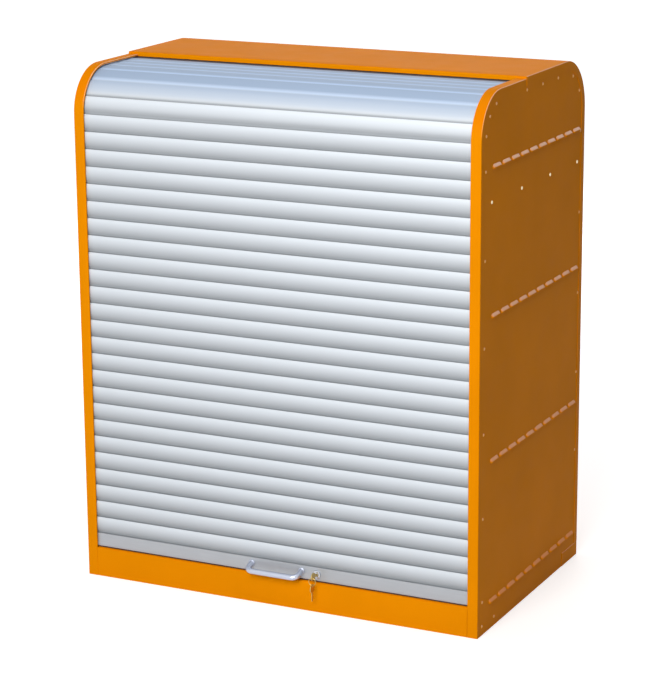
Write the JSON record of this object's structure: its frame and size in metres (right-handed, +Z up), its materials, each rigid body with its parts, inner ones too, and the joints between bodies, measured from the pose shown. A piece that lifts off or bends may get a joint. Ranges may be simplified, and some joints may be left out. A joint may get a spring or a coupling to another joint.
{
  "type": "hazardous materials cabinet",
  "caption": "Free-standing sheet steel cabinet with a lifting slat shutter, round front top edge, louvred sides, key lock, tray shelves and a sump tray for leaks.",
  "frame": {"origin": "on the floor, below the middle of the outer box, which takes in the handle and the keys", "axes": "+Z up, -Y out of the shutter's face, +X to the right of someone who stands before it"},
  "size_m": [1.01, 0.649, 1.215],
  "materials": {
    "orange_paint": "smooth gloss powder coat",
    "painted_rivet": "rivets painted over",
    "galvanised_steel": "plain galvanised sheet",
    "rail_aluminium": "drawn, matt",
    "silver_slat": "silver lacquer, satin",
    "silver_bar": "anodised, satin",
    "bright_rivet": "bare, bright",
    "seal_rubber": "matt black",
    "satin_handle": "satin",
    "zinc": "bright zinc",
    "lock_chrome": "polished",
    "key_brass": "nickel brass, worn"
  },
  "bodies": {
    "cabinet": {"side_panel_left": "orange_paint", "side_panel_right": "orange_paint", "front_band_left": "orange_paint", "front_band_right": "orange_paint", "guide_rail_left": "rail_aluminium", "guide_rail_right": "rail_aluminium", "top_cover": "orange_paint", "back_panel": "orange_paint", "inner_back": "galvanised_steel", "corner_plates": "orange_paint", "plinth": "orange_paint", "base_frame": "galvanised_steel", "floor_pan": "galvanised_steel", "sump_tray": "galvanised_steel", "shelf_lower": "galvanised_steel", "shelf_upper": "galvanised_steel", "shelf_uprights": "galvanised_steel", "shelf_brackets": "galvanised_steel", "upper_curtain": "silver_slat", "side_rivets": "bright_rivet", "frame_rivets": "painted_rivet", "strike_plate": "galvanised_steel"},
    "shutter": {"bottom_bar": "silver_bar", "bar_seal": "seal_rubber", "handle": "satin_handle", "handle_screws": "zinc", "lock_housing": "lock_chrome", "lock_nut": "zinc", "slat_01": "silver_slat"},
    "lock_core": {"lock_plug": "lock_chrome", "lock_cam": "zinc", "cam_nut": "zinc"},
    "key_in_lock": {"key": "key_brass"},
    "ring": {"key_ring": "lock_chrome"},
    "second_key": {"spare_key": "key_brass"},
    "slat_02_body": {"slat_02": "silver_slat"},
    "slat_03_body": {"slat_03": "silver_slat"},
    "slat_04_body": {"slat_04": "silver_slat"},
    "slat_05_body": {"slat_05": "silver_slat"},
    "slat_06_body": {"slat_06": "silver_slat"},
    "slat_07_body": {"slat_07": "silver_slat"},
    "slat_08_body": {"slat_08": "silver_slat"},
    "slat_09_body": {"slat_09": "silver_slat"},
    "slat_10_body": {"slat_10": "silver_slat"},
    "slat_11_body": {"slat_11": "silver_slat"},
    "slat_12_body": {"slat_12": "silver_slat"},
    "slat_13_body": {"slat_13": "silver_slat"},
    "slat_14_body": {"slat_14": "silver_slat"},
    "slat_15_body": {"slat_15": "silver_slat"},
    "slat_16_body": {"slat_16": "silver_slat"},
    "slat_17_body": {"slat_17": "silver_slat"},
    "slat_18_body": {"slat_18": "silver_slat"},
    "slat_19_body": {"slat_19": "silver_slat"},
    "slat_20_body": {"slat_20": "silver_slat"},
    "slat_21_body": {"slat_21": "silver_slat"},
    "slat_22_body": {"slat_22": "silver_slat"},
    "slat_23_body": {"slat_23": "silver_slat"},
    "slat_24_body": {"slat_24": "silver_slat"},
    "slat_25_body": {"slat_25": "silver_slat"}
  },
  "joints": [
    {"name": "shutter_lift", "type": "slide", "parent": "cabinet", "child": "shutter", "axis": [0, 0, 1], "range_m": [0, 0.96]},
    {"name": "key_turn", "type": "hinge", "parent": "shutter", "child": "lock_core", "pos_m": [0.103, -0.2955, 0.08885], "axis": [0, -1, 0], "range_deg": [0, 90]},
    {"name": "key_pull", "type": "slide", "parent": "lock_core", "child": "key_in_lock", "axis": [0, -1, 0], "range_m": [0, 0.025]},
    {"name": "key_ring_swing", "type": "hinge", "parent": "key_in_lock", "child": "ring", "pos_m": [0.103, -0.3145, 0.08745], "axis": [1, 0, 0], "range_deg": [-60, 8]},
    {"name": "second_key_swing", "type": "hinge", "parent": "ring", "child": "second_key", "pos_m": [0.103, -0.3145, 0.07045], "axis": [1, 0, 0], "range_deg": [-20, 8]},
    {"name": "slat_02_travel", "type": "slide", "parent": "cabinet", "child": "slat_02_body", "axis": [0, 0.0054, 1], "range_m": [0, 0.92011]},
    {"name": "slat_03_travel", "type": "slide", "parent": "cabinet", "child": "slat_03_body", "axis": [0, 0.0114, 0.9999], "range_m": [0, 0.88016]},
    {"name": "slat_04_travel", "type": "slide", "parent": "cabinet", "child": "slat_04_body", "axis": [0, 0.0179, 0.9998], "range_m": [0, 0.84023]},
    {"name": "slat_05_travel", "type": "slide", "parent": "cabinet", "child": "slat_05_body", "axis": [0, 0.025, 0.9997], "range_m": [0, 0.80035]},
    {"name": "slat_06_travel", "type": "slide", "parent": "cabinet", "child": "slat_06_body", "axis": [0, 0.0329, 0.9995], "range_m": [0, 0.76051]},
    {"name": "slat_07_travel", "type": "slide", "parent": "cabinet", "child": "slat_07_body", "axis": [0, 0.0416, 0.9991], "range_m": [0, 0.72072]},
    {"name": "slat_08_travel", "type": "slide", "parent": "cabinet", "child": "slat_08_body", "axis": [0, 0.0514, 0.9987], "range_m": [0, 0.681]},
    {"name": "slat_09_travel", "type": "slide", "parent": "cabinet", "child": "slat_09_body", "axis": [0, 0.0624, 0.9981], "range_m": [0, 0.64135]},
    {"name": "slat_10_travel", "type": "slide", "parent": "cabinet", "child": "slat_10_body", "axis": [0, 0.0748, 0.9972], "range_m": [0, 0.60179]},
    {"name": "slat_11_travel", "type": "slide", "parent": "cabinet", "child": "slat_11_body", "axis": [0, 0.0889, 0.996], "range_m": [0, 0.56233]},
    {"name": "slat_12_travel", "type": "slide", "parent": "cabinet", "child": "slat_12_body", "axis": [0, 0.1052, 0.9945], "range_m": [0, 0.523]},
    {"name": "slat_13_travel", "type": "slide", "parent": "cabinet", "child": "slat_13_body", "axis": [0, 0.124, 0.9923], "range_m": [0, 0.48384]},
    {"name": "slat_14_travel", "type": "slide", "parent": "cabinet", "child": "slat_14_body", "axis": [0, 0.1461, 0.9893], "range_m": [0, 0.44488]},
    {"name": "slat_15_travel", "type": "slide", "parent": "cabinet", "child": "slat_15_body", "axis": [0, 0.1724, 0.985], "range_m": [0, 0.40618]},
    {"name": "slat_16_travel", "type": "slide", "parent": "cabinet", "child": "slat_16_body", "axis": [0, 0.204, 0.979], "range_m": [0, 0.36783]},
    {"name": "slat_17_travel", "type": "slide", "parent": "cabinet", "child": "slat_17_body", "axis": [0, 0.2425, 0.9701], "range_m": [0, 0.32995]},
    {"name": "slat_18_travel", "type": "slide", "parent": "cabinet", "child": "slat_18_body", "axis": [0, 0.2905, 0.9569], "range_m": [0, 0.29272]},
    {"name": "slat_19_travel", "type": "slide", "parent": "cabinet", "child": "slat_19_body", "axis": [0, 0.3511, 0.9363], "range_m": [0, 0.25642]},
    {"name": "slat_20_travel", "type": "slide", "parent": "cabinet", "child": "slat_20_body", "axis": [0, 0.4291, 0.9033], "range_m": [0, 0.22152]},
    {"name": "slat_21_travel", "type": "slide", "parent": "cabinet", "child": "slat_21_body", "axis": [0, 0.53, 0.848], "range_m": [0, 0.18878]},
    {"name": "slat_22_travel", "type": "slide", "parent": "cabinet", "child": "slat_22_body", "axis": [0, 0.6585, 0.7526], "range_m": [0, 0.15955]},
    {"name": "slat_23_travel", "type": "slide", "parent": "cabinet", "child": "slat_23_body", "axis": [0, 0.8087, 0.5882], "range_m": [0, 0.13612]},
    {"name": "slat_24_travel", "type": "slide", "parent": "cabinet", "child": "slat_24_body", "axis": [0, 0.9445, 0.3285], "range_m": [0, 0.12186]},
    {"name": "slat_25_travel", "type": "slide", "parent": "cabinet", "child": "slat_25_body", "axis": [0, 1, 0], "range_m": [0, 0.1201]}
  ],
  "couplings": [
    {"joint": "slat_02_travel", "follows": "shutter_lift", "ratio": 0.95835},
    {"joint": "slat_03_travel", "follows": "shutter_lift", "ratio": 0.91673},
    {"joint": "slat_04_travel", "follows": "shutter_lift", "ratio": 0.87514},
    {"joint": "slat_05_travel", "follows": "shutter_lift", "ratio": 0.83359},
    {"joint": "slat_06_travel", "follows": "shutter_lift", "ratio": 0.79209},
    {"joint": "slat_07_travel", "follows": "shutter_lift", "ratio": 0.75065},
    {"joint": "slat_08_travel", "follows": "shutter_lift", "ratio": 0.70927},
    {"joint": "slat_09_travel", "follows": "shutter_lift", "ratio": 0.66797},
    {"joint": "slat_10_travel", "follows": "shutter_lift", "ratio": 0.62676},
    {"joint": "slat_11_travel", "follows": "shutter_lift", "ratio": 0.58565},
    {"joint": "slat_12_travel", "follows": "shutter_lift", "ratio": 0.54469},
    {"joint": "slat_13_travel", "follows": "shutter_lift", "ratio": 0.50389},
    {"joint": "slat_14_travel", "follows": "shutter_lift", "ratio": 0.46331},
    {"joint": "slat_15_travel", "follows": "shutter_lift", "ratio": 0.423},
    {"joint": "slat_16_travel", "follows": "shutter_lift", "ratio": 0.38305},
    {"joint": "slat_17_travel", "follows": "shutter_lift", "ratio": 0.34359},
    {"joint": "slat_18_travel", "follows": "shutter_lift", "ratio": 0.30481},
    {"joint": "slat_19_travel", "follows": "shutter_lift", "ratio": 0.267},
    {"joint": "slat_20_travel", "follows": "shutter_lift", "ratio": 0.23064},
    {"joint": "slat_21_travel", "follows": "shutter_lift", "ratio": 0.19654},
    {"joint": "slat_22_travel", "follows": "shutter_lift", "ratio": 0.1661},
    {"joint": "slat_23_travel", "follows": "shutter_lift", "ratio": 0.14168},
    {"joint": "slat_24_travel", "follows": "shutter_lift", "ratio": 0.12683},
    {"joint": "slat_25_travel", "follows": "shutter_lift", "ratio": 0.125}
  ]
}
